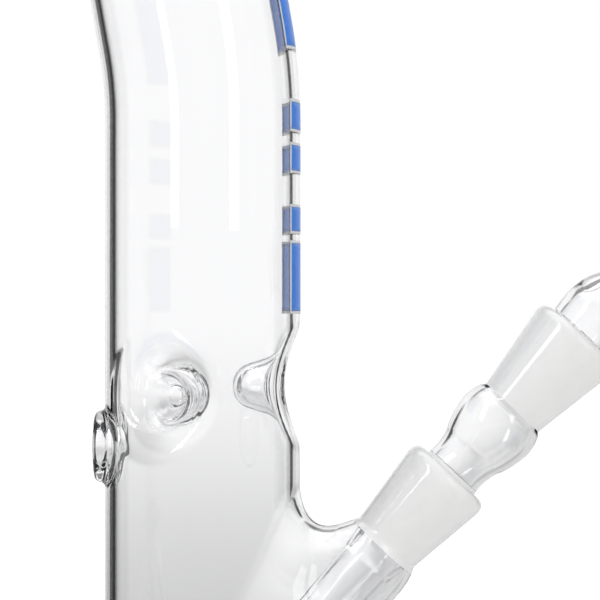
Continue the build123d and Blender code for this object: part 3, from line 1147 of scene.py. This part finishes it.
def flag_stops():
    """Brightness stops round the horizon, as shares of a turn."""
    stops = []
    for middle, half, dark in FLAGS:
        outer = half + FLAG_SOFT
        for offset, value in ((-outer, 1.0), (-half, dark), (half, dark), (outer, 1.0)):
            stops.append(((middle + offset) / 360 + 0.5, value))
    return sorted(stops)


def grey_ramp(tree, value, stops):
    """A grey from stops of position and brightness."""
    ramp = tree.nodes.new("ShaderNodeValToRGB")
    elements = ramp.color_ramp.elements
    while len(elements) < len(stops):
        elements.new(0.5)
    for element, (position, grey) in zip(elements, stops):
        element.position = position
        element.color = (grey, grey, grey, 1)
    tree.links.new(value, ramp.inputs["Fac"])
    return ramp.outputs["Color"]


def mixed(tree, kind, factor, first, second):
    """A mixed or multiplied colour; each of the three is a link or a fixed value."""
    node = tree.nodes.new("ShaderNodeMix")
    node.data_type = "RGBA"
    node.blend_type = kind
    colours = [s for s in node.inputs if s.type == "RGBA"]
    sockets = (node.inputs["Factor"], *colours)
    for socket, value in zip(sockets, (factor, first, second)):
        if isinstance(value, (int, float, tuple)):
            socket.default_value = value
        else:
            tree.links.new(value, socket)
    return [s for s in node.outputs if s.type == "RGBA"][0]


def world_light():
    """Soft white all round, graded by height, with dark flags that draw the glass's edges."""
    world = bpy.data.worlds.new("studio")
    world.use_nodes = True
    bpy.context.scene.world = world
    tree = world.node_tree
    parts = tree.nodes.new("ShaderNodeSeparateXYZ")
    tree.links.new(tree.nodes.new("ShaderNodeTexCoord").outputs["Generated"], parts.inputs[0])
    turn = math_node(tree, "ARCTAN2", parts.outputs["X"], parts.outputs["Y"])
    share = map_range(tree, turn, From_Min=-math.pi, From_Max=math.pi)
    height = map_range(tree, parts.outputs["Z"], From_Min=-1.0, From_Max=1.0)

    def by_height(stops):
        return grey_ramp(tree, height, [((z + 1) / 2, grey) for z, grey in stops])

    flags = grey_ramp(tree, share, flag_stops())
    flags = mixed(tree, "MIX", by_height(FLAG_HEIGHTS), WHITE, flags)
    graded = mixed(tree, "MULTIPLY", 1.0, flags, by_height(HEIGHT_STOPS))
    behind = grey_ramp(tree, share, LEDGE_TURNS)
    ledge = mixed(tree, "MIX", behind, WHITE, by_height(LEDGE_HEIGHTS))
    graded = mixed(tree, "MULTIPLY", 1.0, graded, ledge)
    viewer = tree.nodes.new("ShaderNodeLightPath").outputs["Is Camera Ray"]
    shade = mixed(tree, "MIX", viewer, graded, WHITE)
    tree.links.new(shade, tree.nodes["Background"].inputs["Color"])
    tree.nodes["Background"].inputs["Strength"].default_value = 1.0


def softbox(name, place, target, size, strength):
    """A rectangular lamp of a brightness, turned towards a target."""
    light = bpy.data.lights.new(name, "AREA")
    light.shape = "RECTANGLE"
    light.size, light.size_y = size
    light.energy = strength * size[0] * size[1] * math.pi
    lamp = bpy.data.objects.new(name, light)
    lamp.location = place
    lamp.rotation_euler = (Vector(place) - Vector(target)).to_track_quat("Z", "Y").to_euler()
    bpy.context.scene.collection.objects.link(lamp)


def lamps():
    """A wide box overhead, a strip at the upper left front and a strip at the right front."""
    middle = (0.02, 0.0, 0.18)
    softbox("top_box", (0.0, 0.1, 1.9), (0.0, 0.0, 0.0), (2.2, 2.2), 1.05)
    softbox("left_strip", (-1.0, -1.0, 1.1), middle, (0.25, 1.0), 7.0)
    softbox("right_strip", (1.1, -1.3, 0.7), middle, (0.3, 1.0), 3.0)


def main():
    """Builds the stage and the visual pieces, hangs each on the body it rides on, and hides the parts it
    stands in for.
    """
    clear = clear_glass()
    ground = ground_glass()
    frosted = frosted_glass()
    set_camera()
    stage_floor()
    world_light()
    lamps()
    pipe = welded_pipe("pipe_glass", clear, ground, frosted)
    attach(pipe, "pipe")
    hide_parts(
        "chamber_tube", "neck_tube", "foot", "mouth_lip", "carb_boss", "side_arm", "arm_socket"
    )
    tube = stem("stem_glass", clear)
    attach(tube, "pipe")
    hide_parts("inner_stem")
    middle = adapter("adapter_glass", clear, ground, frosted)
    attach(middle, "adapter")
    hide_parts("adapter_cone", "adapter_bulb", "adapter_socket")
    cup = bowl("bowl_glass", clear, ground)
    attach(cup, "bowl")
    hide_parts("bowl_cone", "bowl_neck", "bowl_cup", "bowl_handle")
    blue = enamel("print_blue", PRINT_BLUE, PRINT_BLUE_DARK)
    bars = printed("print_blue_bars", bar_patches(), blue)
    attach(bars, "pipe")
    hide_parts("print_bars")
    pale = enamel("print_pale", PRINT_PALE, PRINT_PALE_DARK)
    borders = printed("print_pale_borders", border_patches(), pale)
    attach(borders, "pipe")
    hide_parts("print_borders")
    screen = bpy.data.objects["bowl_screen"]
    screen.data.materials.clear()
    screen.data.materials.append(steel())


main()
